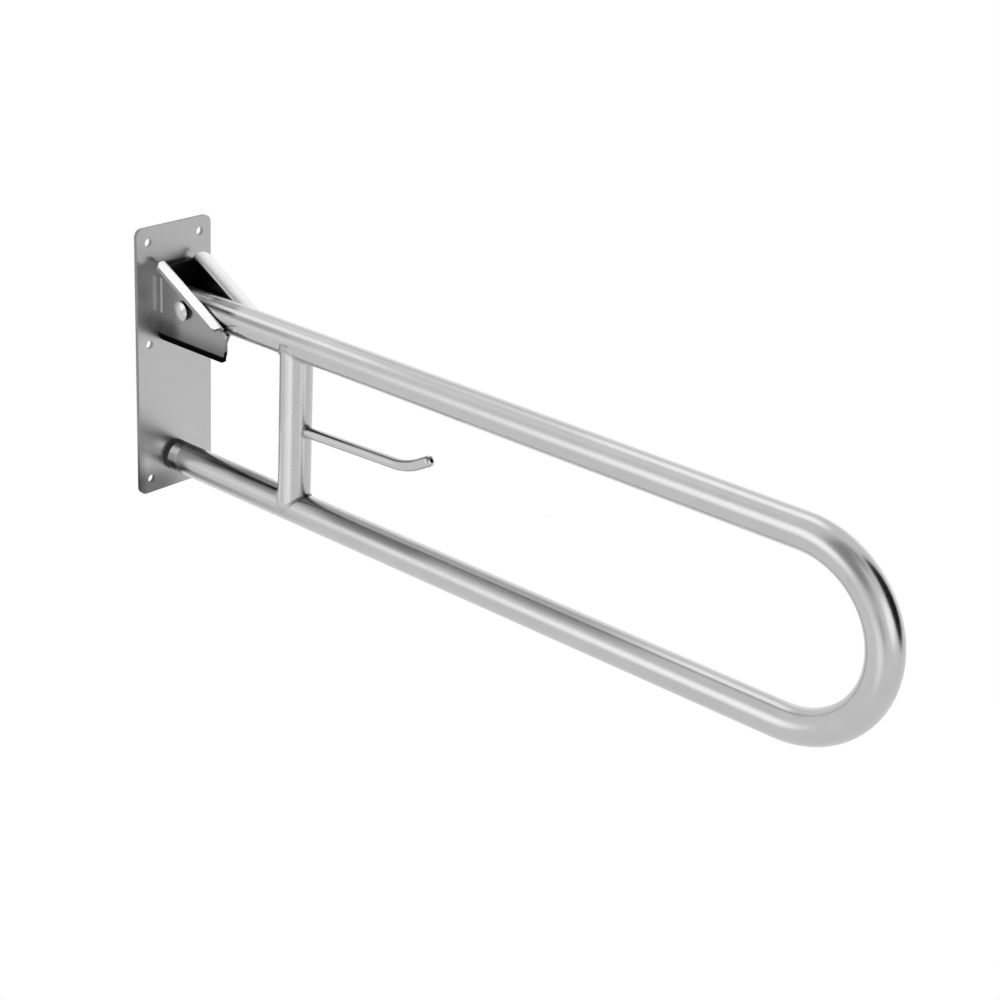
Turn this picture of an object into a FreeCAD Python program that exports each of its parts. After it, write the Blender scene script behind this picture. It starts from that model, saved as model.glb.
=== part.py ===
import FreeCAD, Part
import math
import os
import Sketcher
from FreeCAD import Placement, Rotation, Vector
from types import SimpleNamespace

# Swing-up grab bar: a U-shaped rail of steel tube that hinges in a sheet bracket on a wall plate.
# Millimetres and degrees. The origin is the middle of the plate's back face, on the wall.
# +X runs out of the wall, +Z is up, and the near cheek of the bracket is on the -Y side.

SIZES = {
    # wall plate; the middle pair of holes sits at its own height
    "plate_width": 95.0,
    "plate_height": 280.0,
    "plate_thickness": 4.0,
    "plate_corner": 8.0,
    "hole_diameter": 8.5,
    "hole_side_margin": 14.5,
    "hole_end_margin": 15.0,
    "middle_hole_up": 20.0,
    # hinge bracket: a channel of bent sheet, open in front and on top; its web is notched in front,
    # where a curled lip stays under the near cheek only
    "bracket_thickness": 4.0,
    "bracket_gap": 35.0,
    "bracket_length": 97.0,
    "web_underside_up": 19.4,
    "web_bend": 12.0,
    "notch_length": 41.0,
    "notch_near_side": 14.0,
    "notch_corner": 12.0,
    "far_step_up": 37.5,
    "far_step_corner": 3.0,
    "cheek_front_corner": 5.0,
    "lip_front_corner": 18.0,
    # flanges turned out along the slanted top edges; the width is from the inner face
    "flange_slope_angle": 29.0,
    "flange_rear_reach": 10.0,
    "flange_rear_up": 107.2,
    "flange_length": 95.5,
    "flange_width": 16.0,
    "flange_bend": 6.0,
    "flange_rear_corner": 8.0,
    "flange_front_corner": 4.0,
    "weld_leg": 2.5,
    # tie plate that crosses the bracket behind the rail, with a tab in each cheek
    "tie_reach": 3.0,
    "tie_thickness": 4.0,
    "tab_up": 70.6,
    "tab_height": 36.4,
    "tab_play": 0.4,
    # pivot bolt with a dome head and a square neck, and what is on it
    "pivot_reach": 37.0,
    "pivot_up": 63.0,
    "bolt_diameter": 10.0,
    "bolt_play": 0.4,
    "head_diameter": 19.5,
    "head_height": 6.5,
    "head_rim": 4.0,
    "bolt_end_proud": 2.0,
    "bolt_end_chamfer": 0.8,
    "washer_diameter": 21.0,
    "washer_thickness": 2.0,
    "disc_diameter": 20.0,
    "disc_thickness": 1.1,
    "disc_cone": 0.45,
    "disc_play": 0.1,
    "nut_flats": 17.0,
    "nut_height": 8.0,
    "nut_collar_diameter": 15.5,
    "nut_collar_height": 2.5,
    "insert_diameter": 13.0,
    "insert_height": 2.0,
    "sleeve_diameter": 16.0,
    "sleeve_wall": 2.0,
    "sleeve_proud": 0.1,
    "bushing_play": 0.05,
    "bushing_length": 12.0,
    "bushing_flange": 20.0,
    "bushing_flange_thickness": 1.0,
    # rail: one tube bent to a U; its two runs are one spacing apart
    "rail_diameter": 32.0,
    "rail_wall": 1.5,
    "rail_spacing": 170.0,
    "rail_projection": 850.0,
    "heel_length": 18.0,
    "heel_cap_thickness": 3.0,
    "heel_cap_edge": 2.0,
    "heel_spigot": 6.0,
    "spigot_play": 0.1,
    # end of the lower run: plug, threaded stud and rubber bumper
    "end_collar_length": 12.0,
    "end_collar_edge": 0.6,
    "end_spigot": 15.0,
    "bumper_thickness": 5.0,
    "bumper_edge": 1.2,
    "stud_diameter": 6.0,
    "stud_length": 9.0,
    "stud_disc_diameter": 20.0,
    "stud_disc_thickness": 1.5,
    "stud_hole_spare": 1.0,
    # post between the two runs, and the rod that it carries
    "post_diameter": 32.0,
    "post_wall": 1.5,
    "post_distance": 178.5,
    "post_weld": 1.4,
    "rod_diameter": 11.0,
    "rod_hole_play": 0.2,
    "rod_root_gap": 0.3,
    "rod_drop": 2.9,
    "rod_pitch_angle": 2.1,
    "rod_run": 161.0,
    "rod_bend": 70.0,
    "rod_tip_angle": 29.5,
    "rod_tip_length": 34.5,
    "rod_end_flat": 0.8,
    "rod_weld": 1.4,
    # how far a cutting shape runs past what it cuts
    "overrun": 2.0,
}

# how near two lengths are when they count as the same, and the digits kept of a share
SAME = 0.01
SHARE_DIGITS = 9


class Size:
    """A size as a number and as the formula over the sheet that gives it."""

    def __init__(self, number, formula):
        self.number = float(number)
        self.formula = formula

    def __add__(self, other):
        return Size(self.number + other.number, f"({self.formula} + {other.formula})")

    def __sub__(self, other):
        return Size(self.number - other.number, f"({self.formula} - {other.formula})")

    def __mul__(self, times):
        return Size(self.number * times, f"({self.formula} * {times})")

    def __truediv__(self, parts):
        return Size(self.number / parts, f"({self.formula} / {parts})")

    def __neg__(self):
        return Size(-self.number, f"(-{self.formula})")

    def over_cosine(self, slope):
        """This length, divided by the cosine of a slope."""
        return Size(self.number / math.cos(math.radians(slope.number)),
                    f"({self.formula} / cos({slope.formula}))")

    def along(self, slope):
        """How far this length reaches level, when it is laid at a slope."""
        return Size(self.number * math.cos(math.radians(slope.number)),
                    f"({self.formula} * cos({slope.formula}))")

    def rise(self, slope):
        """How far this length climbs, when it is laid at a slope."""
        return Size(self.number * math.sin(math.radians(slope.number)),
                    f"({self.formula} * sin({slope.formula}))")

    def rise_over(self, slope):
        """How far a slope climbs over this level length."""
        return Size(self.number * math.tan(math.radians(slope.number)),
                    f"({self.formula} * tan({slope.formula}))")

    def inside(self, half_width):
        """How far from the middle of a circle of this radius a flat of that half width fits."""
        return Size(math.sqrt(self.number ** 2 - half_width.number ** 2),
                    f"sqrt({self.formula} ^ 2 - {half_width.formula} ^ 2)")


def write_sheet():
    """Put every size in a cell of its own, with its name as the alias."""
    sheet = doc.addObject("Spreadsheet::Sheet", "sizes")
    for row, (name, number) in enumerate(SIZES.items(), start=1):
        sheet.set(f"A{row}", name)
        sheet.set(f"B{row}", str(number))
        sheet.setAlias(f"B{row}", name)
    doc.recompute()
    return SimpleNamespace(**{name: Size(getattr(sheet, name), f"sizes.{name}") for name in SIZES})


doc = FreeCAD.newDocument("swing_up_grab_bar")
s = write_sheet()
ZERO = Size(0, "0")
UPRIGHT = ZERO
LEVEL = Size(90, "90")


# Sketches

def new_body(label, x=ZERO, y=ZERO, z=ZERO):
    """A body for one piece, placed where its own zero point lies on the object."""
    body = doc.addObject("PartDesign::Body", label)
    body.Label = label
    body.AllowCompound = True
    place(body, x, y, z)
    return body


def place(thing, x, y, z):
    """Bind where a body or a primitive lies."""
    for axis, size in zip("xyz", (x, y, z)):
        thing.setExpression(f"Placement.Base.{axis}", size.formula)


def new_sketch(body, role, across=ZERO, up=ZERO, out=ZERO):
    """A sketch on a plane of the body's own origin, shifted in the plane and off it."""
    sketch = body.newObject("Sketcher::SketchObject", f"{body.Name}_sketch")
    plane = next(item for item in body.Origin.OriginFeatures if item.Role == role)
    sketch.AttachmentSupport = (plane, "")
    sketch.MapMode = "FlatFace"
    for axis, size in zip("xyz", (across, up, out)):
        sketch.setExpression(f"AttachmentOffset.Base.{axis}", size.formula)
    return sketch


def name_and_bind(sketch, constraint, name, size):
    """Give a dimension its name and the formula that drives it."""
    sketch.renameConstraint(constraint, name)
    sketch.setExpression(f"Constraints.{name}", size.formula)


def fix_point(sketch, geometry, end, across, up):
    """Hold a point of the sketch at two sizes from the sketch's own zero point."""
    for kind, axis, size in (("DistanceX", -2, across), ("DistanceY", -1, up)):
        if size is ZERO:
            sketch.addConstraint(Sketcher.Constraint("PointOnObject", geometry, end, axis))
        else:
            made = sketch.addConstraint(
                Sketcher.Constraint(kind, -1, 1, geometry, end, size.number))
            name_and_bind(sketch, made, f"{kind}_{geometry}_{end}", size)


def draw_circle(sketch, across, up, diameter):
    """A circle held at its centre."""
    centre = Vector(across.number, up.number, 0)
    circle = sketch.addGeometry(Part.Circle(centre, Vector(0, 0, 1), diameter.number / 2))
    fix_point(sketch, circle, 3, across, up)
    made = sketch.addConstraint(Sketcher.Constraint("Diameter", circle, diameter.number))
    name_and_bind(sketch, made, f"Diameter_{circle}", diameter)


def draw_outline(sketch, corners, closed=True):
    """Straight sides from corner to corner; a third entry in a corner is its rounding."""
    count = len(corners)
    spots = [Vector(corner[0].number, corner[1].number, 0) for corner in corners]
    rounding = [corner[2] if len(corner) > 2 else None for corner in corners]

    def half_angle(index):
        back = spots[index - 1] - spots[index]
        ahead = spots[(index + 1) % count] - spots[index]
        return back.getAngle(ahead) / 2

    def trim(index):
        if rounding[index] is None:
            return 0.0
        return rounding[index].number / math.tan(half_angle(index))

    sides = []
    for index in range(count if closed else count - 1):
        following = (index + 1) % count
        way = (spots[following] - spots[index]).normalize()
        line = Part.LineSegment(spots[index] + way * trim(index),
                                spots[following] - way * trim(following))
        sides.append(sketch.addGeometry(line))

    for index in range(count):
        if not closed and index == 0:
            fix_point(sketch, sides[0], 1, *corners[0][:2])
        elif not closed and index == count - 1:
            fix_point(sketch, sides[-1], 2, *corners[-1][:2])
        elif rounding[index] is None:
            join = Sketcher.Constraint("Coincident", sides[index - 1], 2, sides[index], 1)
            sketch.addConstraint(join)
            fix_point(sketch, sides[index], 1, *corners[index][:2])
        else:
            round_corner(sketch, corners[index], spots, index, sides, half_angle(index))


def round_corner(sketch, corner, spots, index, sides, half):
    """An arc that touches the two sides which meet at a corner."""
    across, up, radius = corner
    here = spots[index]
    back = (spots[index - 1] - here).normalize()
    ahead = (spots[(index + 1) % len(spots)] - here).normalize()
    centre = here + (back + ahead).normalize() * (radius.number / math.sin(half))
    turns_left = (ahead.cross(back)).z > 0
    first = here + (back if turns_left else ahead) * (radius.number / math.tan(half)) - centre
    start = math.atan2(first.y, first.x)
    circle = Part.Circle(centre, Vector(0, 0, 1), radius.number)
    arc = sketch.addGeometry(Part.ArcOfCircle(circle, start, start + math.pi - 2 * half))
    near_end, far_end = (1, 2) if turns_left else (2, 1)
    corner_point = sketch.addGeometry(Part.Point(here), True)
    fix_point(sketch, corner_point, 1, across, up)
    for rule in (
        Sketcher.Constraint("PointOnObject", corner_point, 1, sides[index - 1]),
        Sketcher.Constraint("PointOnObject", corner_point, 1, sides[index]),
        Sketcher.Constraint("Tangent", sides[index - 1], 2, arc, near_end),
        Sketcher.Constraint("Tangent", sides[index], 1, arc, far_end),
    ):
        sketch.addConstraint(rule)
    made = sketch.addConstraint(Sketcher.Constraint("Radius", arc, radius.number))
    name_and_bind(sketch, made, f"Radius_{arc}", radius)


def draw_dome(sketch, crown, side, rim):
    """Close an open outline with an arc from its end on the axis back to its first corner."""
    height = rim.number - crown.number
    radius = (side.number ** 2 + height ** 2) / (height * 2)
    centre = Vector(0, crown.number + radius, 0)
    rim_angle = math.atan2(rim.number - centre.y, side.number)
    circle = Part.Circle(centre, Vector(0, 0, 1), radius)
    last = sketch.GeometryCount - 1
    arc = sketch.addGeometry(Part.ArcOfCircle(circle, -math.pi / 2, rim_angle))
    sketch.addConstraint(Sketcher.Constraint("Coincident", arc, 1, last, 2))
    sketch.addConstraint(Sketcher.Constraint("Coincident", arc, 2, 0, 1))
    sketch.addConstraint(Sketcher.Constraint("PointOnObject", arc, 3, -2))


def draw_box(sketch, left, right, low, high):
    """A rectangle between four sizes."""
    draw_outline(sketch, [(left, low), (right, low), (right, high), (left, high)])


def draw_hexagon(sketch, flats):
    """A hexagon about the sketch's zero point, by the distance across its flats."""
    side_shares = [(math.cos(turn * math.pi / 3), math.sin(turn * math.pi / 3)) for turn in range(6)]
    corner_radius = flats / math.sqrt(3)
    corners = [(corner_radius * round(share, SHARE_DIGITS), corner_radius * round(rise, SHARE_DIGITS))
               for share, rise in side_shares]
    draw_outline(sketch, corners)


# Features

def pad(body, sketch, length, reverse=False):
    """Raise a sketch to a length."""
    feature = body.newObject("PartDesign::Pad", f"{body.Name}_pad")
    feature.Profile = sketch
    feature.Reversed = reverse
    feature.setExpression("Length", length.formula)
    return feature


def cut_through(body, sketch):
    """Cut a sketch through the whole body, both ways."""
    feature = body.newObject("PartDesign::Pocket", f"{body.Name}_cut")
    feature.Profile = sketch
    feature.SideType = "Two sides"
    feature.Type = "ThroughAll"
    feature.Type2 = "ThroughAll"
    return feature


def cut_one_way(body, sketch, length, reverse):
    """Cut a sketch to a length, on one side of its plane."""
    feature = body.newObject("PartDesign::Pocket", f"{body.Name}_cut")
    feature.Profile = sketch
    feature.Reversed = reverse
    feature.setExpression("Length", length.formula)
    return feature


def turn(body, sketch, axis, kind="Revolution"):
    """Turn a sketch once round one of its own axes."""
    feature = body.newObject(f"PartDesign::{kind}", f"{body.Name}_turn")
    feature.Profile = sketch
    feature.ReferenceAxis = (sketch, [axis])
    return feature


def sweep(body, profile, path):
    """Run a section along a path."""
    feature = body.newObject("PartDesign::AdditivePipe", f"{body.Name}_pipe")
    feature.Profile = profile
    feature.Spine = (path, [])
    return feature


def mirror(body, original, role):
    """Repeat a feature on the other side of a plane of the body's own origin."""
    feature = body.newObject("PartDesign::Mirrored", f"{body.Name}_mirror")
    feature.Originals = [original]
    plane = next(item for item in body.Origin.OriginFeatures if item.Role == role)
    feature.MirrorPlane = (plane, [""])
    body.Tip = feature
    return feature


def round_edges(body, feature, radius, wanted):
    """Round the edges of a feature that a test picks out."""
    doc.recompute()
    names = [f"Edge{number}" for number, edge in enumerate(feature.Shape.Edges, start=1)
             if wanted(edge)]
    fillet = body.newObject("PartDesign::Fillet", f"{body.Name}_fillet")
    fillet.Base = (feature, names)
    fillet.setExpression("Radius", radius.formula)
    return fillet


def is_near(first, second):
    return abs(first - second) < SAME


# Places that several pieces share

CHEEK_INSIDE = s.bracket_gap / 2
CHEEK_OUTSIDE = CHEEK_INSIDE + s.bracket_thickness
PIVOT_X = s.plate_thickness + s.pivot_reach
RAIL_RADIUS = s.rail_diameter / 2
RAIL_BORE = s.rail_diameter - s.rail_wall * 2
LOWER_UP = s.pivot_up - s.rail_spacing
HEEL_X = PIVOT_X - s.heel_length
BEND_X = s.rail_projection - RAIL_RADIUS - s.rail_spacing / 2
COLLAR_X = s.plate_thickness + s.bumper_thickness
LOWER_END_X = COLLAR_X + s.end_collar_length
POST_RADIUS = s.post_diameter / 2
POST_BORE = s.post_diameter - s.post_wall * 2
ROD_ROOT_X = s.post_distance - (POST_BORE / 2).inside(s.rod_diameter / 2) + s.rod_root_gap
ROD_ROOT_UP = s.pivot_up - s.rail_spacing / 2 - s.rod_drop
ROD_MIDDLE_UP = ROD_ROOT_UP + (s.post_distance - ROD_ROOT_X).rise_over(s.rod_pitch_angle)
ROD_OUT_UP = ROD_MIDDLE_UP + POST_RADIUS.rise_over(s.rod_pitch_angle)
CHEEK_REAR_UP = s.flange_rear_up - s.flange_bend.over_cosine(s.flange_slope_angle)
SLEEVE_BORE = s.sleeve_diameter - s.sleeve_wall * 2
BUSHING_SEAT = RAIL_RADIUS + s.sleeve_proud
WASHER_OUT = CHEEK_OUTSIDE + s.washer_thickness
NUT_SEAT = WASHER_OUT + (s.disc_thickness + s.disc_cone + s.disc_play) * 2
BOLT_END = NUT_SEAT + s.nut_height + s.nut_collar_height + s.bolt_end_proud


# Wall side

def wall_plate():
    """Flat plate with rounded corners and six plain holes."""
    body = new_body("wall_plate")
    outline = new_sketch(body, "YZ_Plane")
    side = s.plate_width / 2
    top = s.plate_height / 2
    row_up = top - s.hole_end_margin
    draw_outline(outline, [(-side, -top, s.plate_corner), (side, -top, s.plate_corner),
                           (side, top, s.plate_corner), (-side, top, s.plate_corner)])
    pad(body, outline, s.plate_thickness)
    holes = new_sketch(body, "YZ_Plane")
    for up in (row_up, s.middle_hole_up, -row_up):
        draw_circle(holes, s.hole_side_margin - side, up, s.hole_diameter)
    near_holes = cut_through(body, holes)
    mirror(body, near_holes, "XZ_Plane")


def hinge_bracket():
    """Channel of bent sheet with slanted cheeks, flanges turned outwards and a notched web."""
    body = new_body("hinge_bracket", x=s.plate_thickness)
    web_top = s.web_underside_up + s.bracket_thickness
    inner_bend = s.web_bend - s.bracket_thickness
    channel = new_sketch(body, "YZ_Plane")
    draw_outline(channel, [
        (-CHEEK_OUTSIDE, s.flange_rear_up),
        (-CHEEK_OUTSIDE, s.web_underside_up, s.web_bend),
        (CHEEK_OUTSIDE, s.web_underside_up, s.web_bend),
        (CHEEK_OUTSIDE, s.flange_rear_up),
        (CHEEK_INSIDE, s.flange_rear_up),
        (CHEEK_INSIDE, web_top, inner_bend),
        (-CHEEK_INSIDE, web_top, inner_bend),
        (-CHEEK_INSIDE, s.flange_rear_up),
    ])
    pad(body, channel, s.bracket_length + s.overrun)

    # notch in the front of the web, from the near lip to where the far bend starts
    notch = new_sketch(body, "XY_Plane")
    notch_end = s.bracket_length - s.notch_length
    far_bend = CHEEK_OUTSIDE - s.web_bend
    past_front = s.bracket_length + s.overrun * 2
    draw_outline(notch, [(notch_end, -s.notch_near_side, s.notch_corner),
                         (past_front, -s.notch_near_side),
                         (past_front, far_bend), (notch_end, far_bend)])
    cut_through(body, notch)

    # the notch goes on round the far bend and up the lower front of the far cheek
    step = new_sketch(body, "XZ_Plane", out=-far_bend)
    past_bottom = s.web_underside_up - s.overrun
    past_corner = s.far_step_up + s.far_step_corner + s.overrun
    draw_outline(step, [(notch_end, past_bottom), (past_front, past_bottom),
                        (past_front, past_corner), (s.bracket_length, past_corner),
                        (s.bracket_length, s.far_step_up, s.far_step_corner),
                        (notch_end, s.far_step_up, s.notch_corner)])
    cut_one_way(body, step, s.web_bend + s.overrun, reverse=False)

    # side view: level behind the flange, then slanted to the rounded front
    side_view = new_sketch(body, "XZ_Plane")
    slant_run = s.bracket_length - s.flange_rear_reach
    front_up = CHEEK_REAR_UP - slant_run.rise_over(s.flange_slope_angle)
    past_top = s.flange_rear_up + s.overrun
    lip_end = s.bracket_length - s.lip_front_corner - s.overrun
    draw_outline(side_view, [
        (-s.overrun, CHEEK_REAR_UP),
        (s.flange_rear_reach, CHEEK_REAR_UP),
        (s.bracket_length, front_up, s.cheek_front_corner),
        (s.bracket_length, s.web_underside_up, s.lip_front_corner),
        (lip_end, s.web_underside_up),
        (lip_end, past_bottom),
        (past_front, past_bottom),
        (past_front, past_top),
        (-s.overrun, past_top),
    ])
    cut_through(body, side_view)

    # flanges: an angle section down the slant on each side, bent over from the cheek's top
    flange = new_sketch(body, "YZ_Plane", up=s.flange_rear_up, out=s.flange_rear_reach)
    flange.AttachmentOffset = Placement(Vector(0, 0, 0), Rotation(Vector(1, 0, 0), 1))
    flange.setExpression("AttachmentOffset.Rotation.Angle", s.flange_slope_angle.formula)
    leg = s.flange_bend + s.bracket_thickness
    free_edge = CHEEK_INSIDE + s.flange_width
    for hand in (-1, 1):
        draw_outline(flange, [
            (CHEEK_INSIDE * hand, -leg),
            (CHEEK_INSIDE * hand, ZERO, s.flange_bend),
            (free_edge * hand, ZERO),
            (free_edge * hand, -s.bracket_thickness),
            (CHEEK_OUTSIDE * hand, -s.bracket_thickness, s.flange_bend - s.bracket_thickness),
            (CHEEK_OUTSIDE * hand, -leg),
        ])
    flanges = pad(body, flange, s.flange_length)

    def at_free_edge(edge):
        ends = [vertex.Point for vertex in edge.Vertexes]
        is_thickness = is_near(edge.Length, s.bracket_thickness.number)
        return is_thickness and all(is_near(abs(end.y), free_edge.number) for end in ends)

    middle = s.flange_rear_reach.number + slant_run.number / 2
    rear = round_edges(body, flanges, s.flange_rear_corner,
                       lambda edge: at_free_edge(edge) and edge.CenterOfMass.x < middle)
    round_edges(body, rear, s.flange_front_corner,
                lambda edge: at_free_edge(edge) and edge.CenterOfMass.x > middle)

    # slots for the tie plate's tabs, in both cheeks
    slot = new_sketch(body, "XZ_Plane")
    half_slot = s.tab_height / 2 + s.tab_play
    draw_box(slot, s.tie_reach - s.tab_play, s.tie_reach + s.tie_thickness + s.tab_play,
             s.tab_up - half_slot, s.tab_up + half_slot)
    cut_through(body, slot)

    # square hole in the near cheek for the bolt's neck, round hole in the far one
    hole_size = s.bolt_diameter + s.bolt_play
    square = new_sketch(body, "XZ_Plane", across=s.pivot_reach, up=s.pivot_up)
    draw_box(square, -hole_size / 2, hole_size / 2, -hole_size / 2, hole_size / 2)
    cut_one_way(body, square, CHEEK_OUTSIDE + s.overrun, reverse=True)
    round_hole = new_sketch(body, "XZ_Plane", across=s.pivot_reach, up=s.pivot_up)
    draw_circle(round_hole, ZERO, ZERO, hole_size)
    cut_one_way(body, round_hole, CHEEK_OUTSIDE + s.overrun, reverse=False)


def tie_plate():
    """Upright plate across the bracket, with a tab into the slot of each cheek."""
    body = new_body("tie_plate", x=s.plate_thickness + s.tie_reach)
    low = s.web_underside_up + s.web_bend + s.tab_play
    tab_low = s.tab_up - s.tab_height / 2
    tab_high = s.tab_up + s.tab_height / 2
    outline = new_sketch(body, "YZ_Plane")
    draw_outline(outline, [
        (-CHEEK_INSIDE, low), (CHEEK_INSIDE, low),
        (CHEEK_INSIDE, tab_low), (CHEEK_OUTSIDE, tab_low),
        (CHEEK_OUTSIDE, tab_high), (CHEEK_INSIDE, tab_high),
        (CHEEK_INSIDE, CHEEK_REAR_UP), (-CHEEK_INSIDE, CHEEK_REAR_UP),
        (-CHEEK_INSIDE, tab_high), (-CHEEK_OUTSIDE, tab_high),
        (-CHEEK_OUTSIDE, tab_low), (-CHEEK_INSIDE, tab_low),
    ])
    pad(body, outline, s.tie_thickness)


def bracket_welds():
    """A bead up the inside of each cheek, where it stands on the plate, behind the tie plate."""
    low = s.web_underside_up + s.web_bend
    body = new_body("bracket_welds", x=s.plate_thickness, z=low)
    section = new_sketch(body, "XY_Plane")
    for hand in (-1, 1):
        draw_outline(section, [(ZERO, CHEEK_INSIDE * hand), (s.weld_leg, CHEEK_INSIDE * hand),
                               (ZERO, (CHEEK_INSIDE - s.weld_leg) * hand)])
    pad(body, section, CHEEK_REAR_UP - low)


# Pivot; each piece is drawn about the bolt's axis

def pivot_body(label):
    """A body whose zero point is the middle of the pivot."""
    return new_body(label, x=PIVOT_X, z=s.pivot_up)


def ring_corners(inner, outer, low, high):
    """Half section of a ring: radius across, place along the axis up."""
    return [(inner, low), (outer, low), (outer, high), (inner, high)]


def pivot_bolt():
    """Dome head outside the near cheek, square neck in it, round shank across the bracket."""
    body = pivot_body("pivot_bolt")
    half = new_sketch(body, "XY_Plane")
    shank = s.bolt_diameter / 2
    head = s.head_diameter / 2
    crown = -CHEEK_OUTSIDE - s.head_height
    rim = -CHEEK_OUTSIDE - s.head_rim
    draw_outline(half, [
        (head, rim),
        (head, -CHEEK_OUTSIDE),
        (shank, -CHEEK_OUTSIDE),
        (shank, BOLT_END - s.bolt_end_chamfer),
        (shank - s.bolt_end_chamfer, BOLT_END),
        (ZERO, BOLT_END),
        (ZERO, crown),
    ], closed=False)
    draw_dome(half, crown, head, rim)
    turn(body, half, "V_Axis")
    neck = new_sketch(body, "XZ_Plane", out=CHEEK_INSIDE)
    draw_box(neck, -shank, shank, -shank, shank)
    pad(body, neck, s.bracket_thickness)


def nut_washer():
    """Flat washer on the far cheek."""
    body = pivot_body("nut_washer")
    half = new_sketch(body, "XY_Plane")
    bore = (s.bolt_diameter + s.bolt_play) / 2
    draw_outline(half, ring_corners(bore, s.washer_diameter / 2, CHEEK_OUTSIDE, WASHER_OUT))
    turn(body, half, "V_Axis")


def disc_springs():
    """Two coned discs, rim to rim, that press on the bushes and brake the swing."""
    body = pivot_body("disc_springs")
    half = new_sketch(body, "XY_Plane")
    bore = (s.bolt_diameter + s.bolt_play) / 2
    rim = s.disc_diameter / 2
    first = WASHER_OUT + s.disc_play / 2
    last = NUT_SEAT - s.disc_play / 2
    draw_outline(half, [(bore, first), (rim, first + s.disc_cone),
                        (rim, first + s.disc_cone + s.disc_thickness),
                        (bore, first + s.disc_thickness)])
    draw_outline(half, [(bore, last - s.disc_thickness),
                        (rim, last - s.disc_cone - s.disc_thickness),
                        (rim, last - s.disc_cone), (bore, last)])
    turn(body, half, "V_Axis")


def lock_nut():
    """Hexagon nut with chamfered corners and a round collar that holds the nylon ring."""
    body = pivot_body("lock_nut")
    hexagon = new_sketch(body, "XZ_Plane", out=-NUT_SEAT)
    draw_hexagon(hexagon, s.nut_flats)
    pad(body, hexagon, s.nut_height, reverse=True)
    collar = new_sketch(body, "XZ_Plane", out=-NUT_SEAT - s.nut_height)
    draw_circle(collar, ZERO, ZERO, s.nut_collar_diameter)
    pad(body, collar, s.nut_collar_height, reverse=True)

    # the corners are turned off at 30 degrees at both ends of the hexagon
    bevel = new_sketch(body, "XY_Plane")
    flat_radius = s.nut_flats / 2
    past_corner = s.nut_flats / math.sqrt(3) + s.overrun
    slope_drop = (past_corner - flat_radius) / math.sqrt(3)
    top = NUT_SEAT + s.nut_height
    draw_outline(bevel, [(flat_radius, top), (past_corner, top - slope_drop), (past_corner, top)])
    draw_outline(bevel, [(flat_radius, NUT_SEAT), (past_corner, NUT_SEAT),
                         (past_corner, NUT_SEAT + slope_drop)])
    turn(body, bevel, "V_Axis", kind="Groove")

    bore = new_sketch(body, "XZ_Plane")
    draw_circle(bore, ZERO, ZERO, s.bolt_diameter)
    cut_through(body, bore)
    seat = new_sketch(body, "XZ_Plane", out=s.insert_height - (BOLT_END - s.bolt_end_proud))
    draw_circle(seat, ZERO, ZERO, s.insert_diameter)
    cut_one_way(body, seat, s.insert_height, reverse=False)


def nut_insert():
    """Nylon ring in the nut's collar."""
    body = pivot_body("nut_insert")
    half = new_sketch(body, "XY_Plane")
    top = BOLT_END - s.bolt_end_proud
    draw_outline(half, ring_corners(s.bolt_diameter / 2, s.insert_diameter / 2,
                                    top - s.insert_height, top))
    turn(body, half, "V_Axis")


def pivot_sleeve():
    """Short thick tube through both walls of the rail."""
    body = pivot_body("pivot_sleeve")
    half = new_sketch(body, "XY_Plane")
    draw_outline(half, ring_corners(SLEEVE_BORE / 2, s.sleeve_diameter / 2,
                                    -BUSHING_SEAT, BUSHING_SEAT))
    turn(body, half, "V_Axis")


def pivot_bushings():
    """A flanged bush in each end of the sleeve; the flange runs beside the cheek."""
    body = pivot_body("pivot_bushings")
    half = new_sketch(body, "XY_Plane")
    bore = s.bolt_diameter / 2 + s.bushing_play
    barrel = SLEEVE_BORE / 2
    flange = s.bushing_flange / 2
    barrel_end = BUSHING_SEAT - s.bushing_length
    flange_out = BUSHING_SEAT + s.bushing_flange_thickness
    for hand in (-1, 1):
        draw_outline(half, [
            (bore, barrel_end * hand), (barrel, barrel_end * hand), (barrel, BUSHING_SEAT * hand),
            (flange, BUSHING_SEAT * hand), (flange, flange_out * hand), (bore, flange_out * hand),
        ])
    turn(body, half, "V_Axis")


# Rail and what is fixed to it

def rail_tube():
    """One tube: upper run, half-round bend and lower run, bored for the pivot sleeve."""
    body = new_body("rail_tube")
    path = new_sketch(body, "XZ_Plane")
    upper = path.addGeometry(Part.LineSegment(
        Vector(HEEL_X.number, s.pivot_up.number, 0), Vector(BEND_X.number, s.pivot_up.number, 0)))
    lower = path.addGeometry(Part.LineSegment(
        Vector(BEND_X.number, LOWER_UP.number, 0), Vector(LOWER_END_X.number, LOWER_UP.number, 0)))
    middle_up = s.pivot_up - s.rail_spacing / 2
    bend_circle = Part.Circle(Vector(BEND_X.number, middle_up.number, 0), Vector(0, 0, 1),
                              s.rail_spacing.number / 2)
    bend = path.addGeometry(Part.ArcOfCircle(bend_circle, -math.pi / 2, math.pi / 2))
    fix_point(path, upper, 1, HEEL_X, s.pivot_up)
    fix_point(path, lower, 2, LOWER_END_X, LOWER_UP)
    fix_point(path, bend, 3, BEND_X, middle_up)
    path.addConstraint(Sketcher.Constraint("Tangent", upper, 2, bend, 2))
    path.addConstraint(Sketcher.Constraint("Tangent", lower, 1, bend, 1))
    path.addConstraint(Sketcher.Constraint("Horizontal", upper))
    section = new_sketch(body, "YZ_Plane", up=s.pivot_up, out=HEEL_X)
    draw_circle(section, ZERO, ZERO, s.rail_diameter)
    draw_circle(section, ZERO, ZERO, RAIL_BORE)
    sweep(body, section, path)
    hole = new_sketch(body, "XZ_Plane")
    draw_circle(hole, PIVOT_X, s.pivot_up, s.sleeve_diameter)
    cut_through(body, hole)


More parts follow.
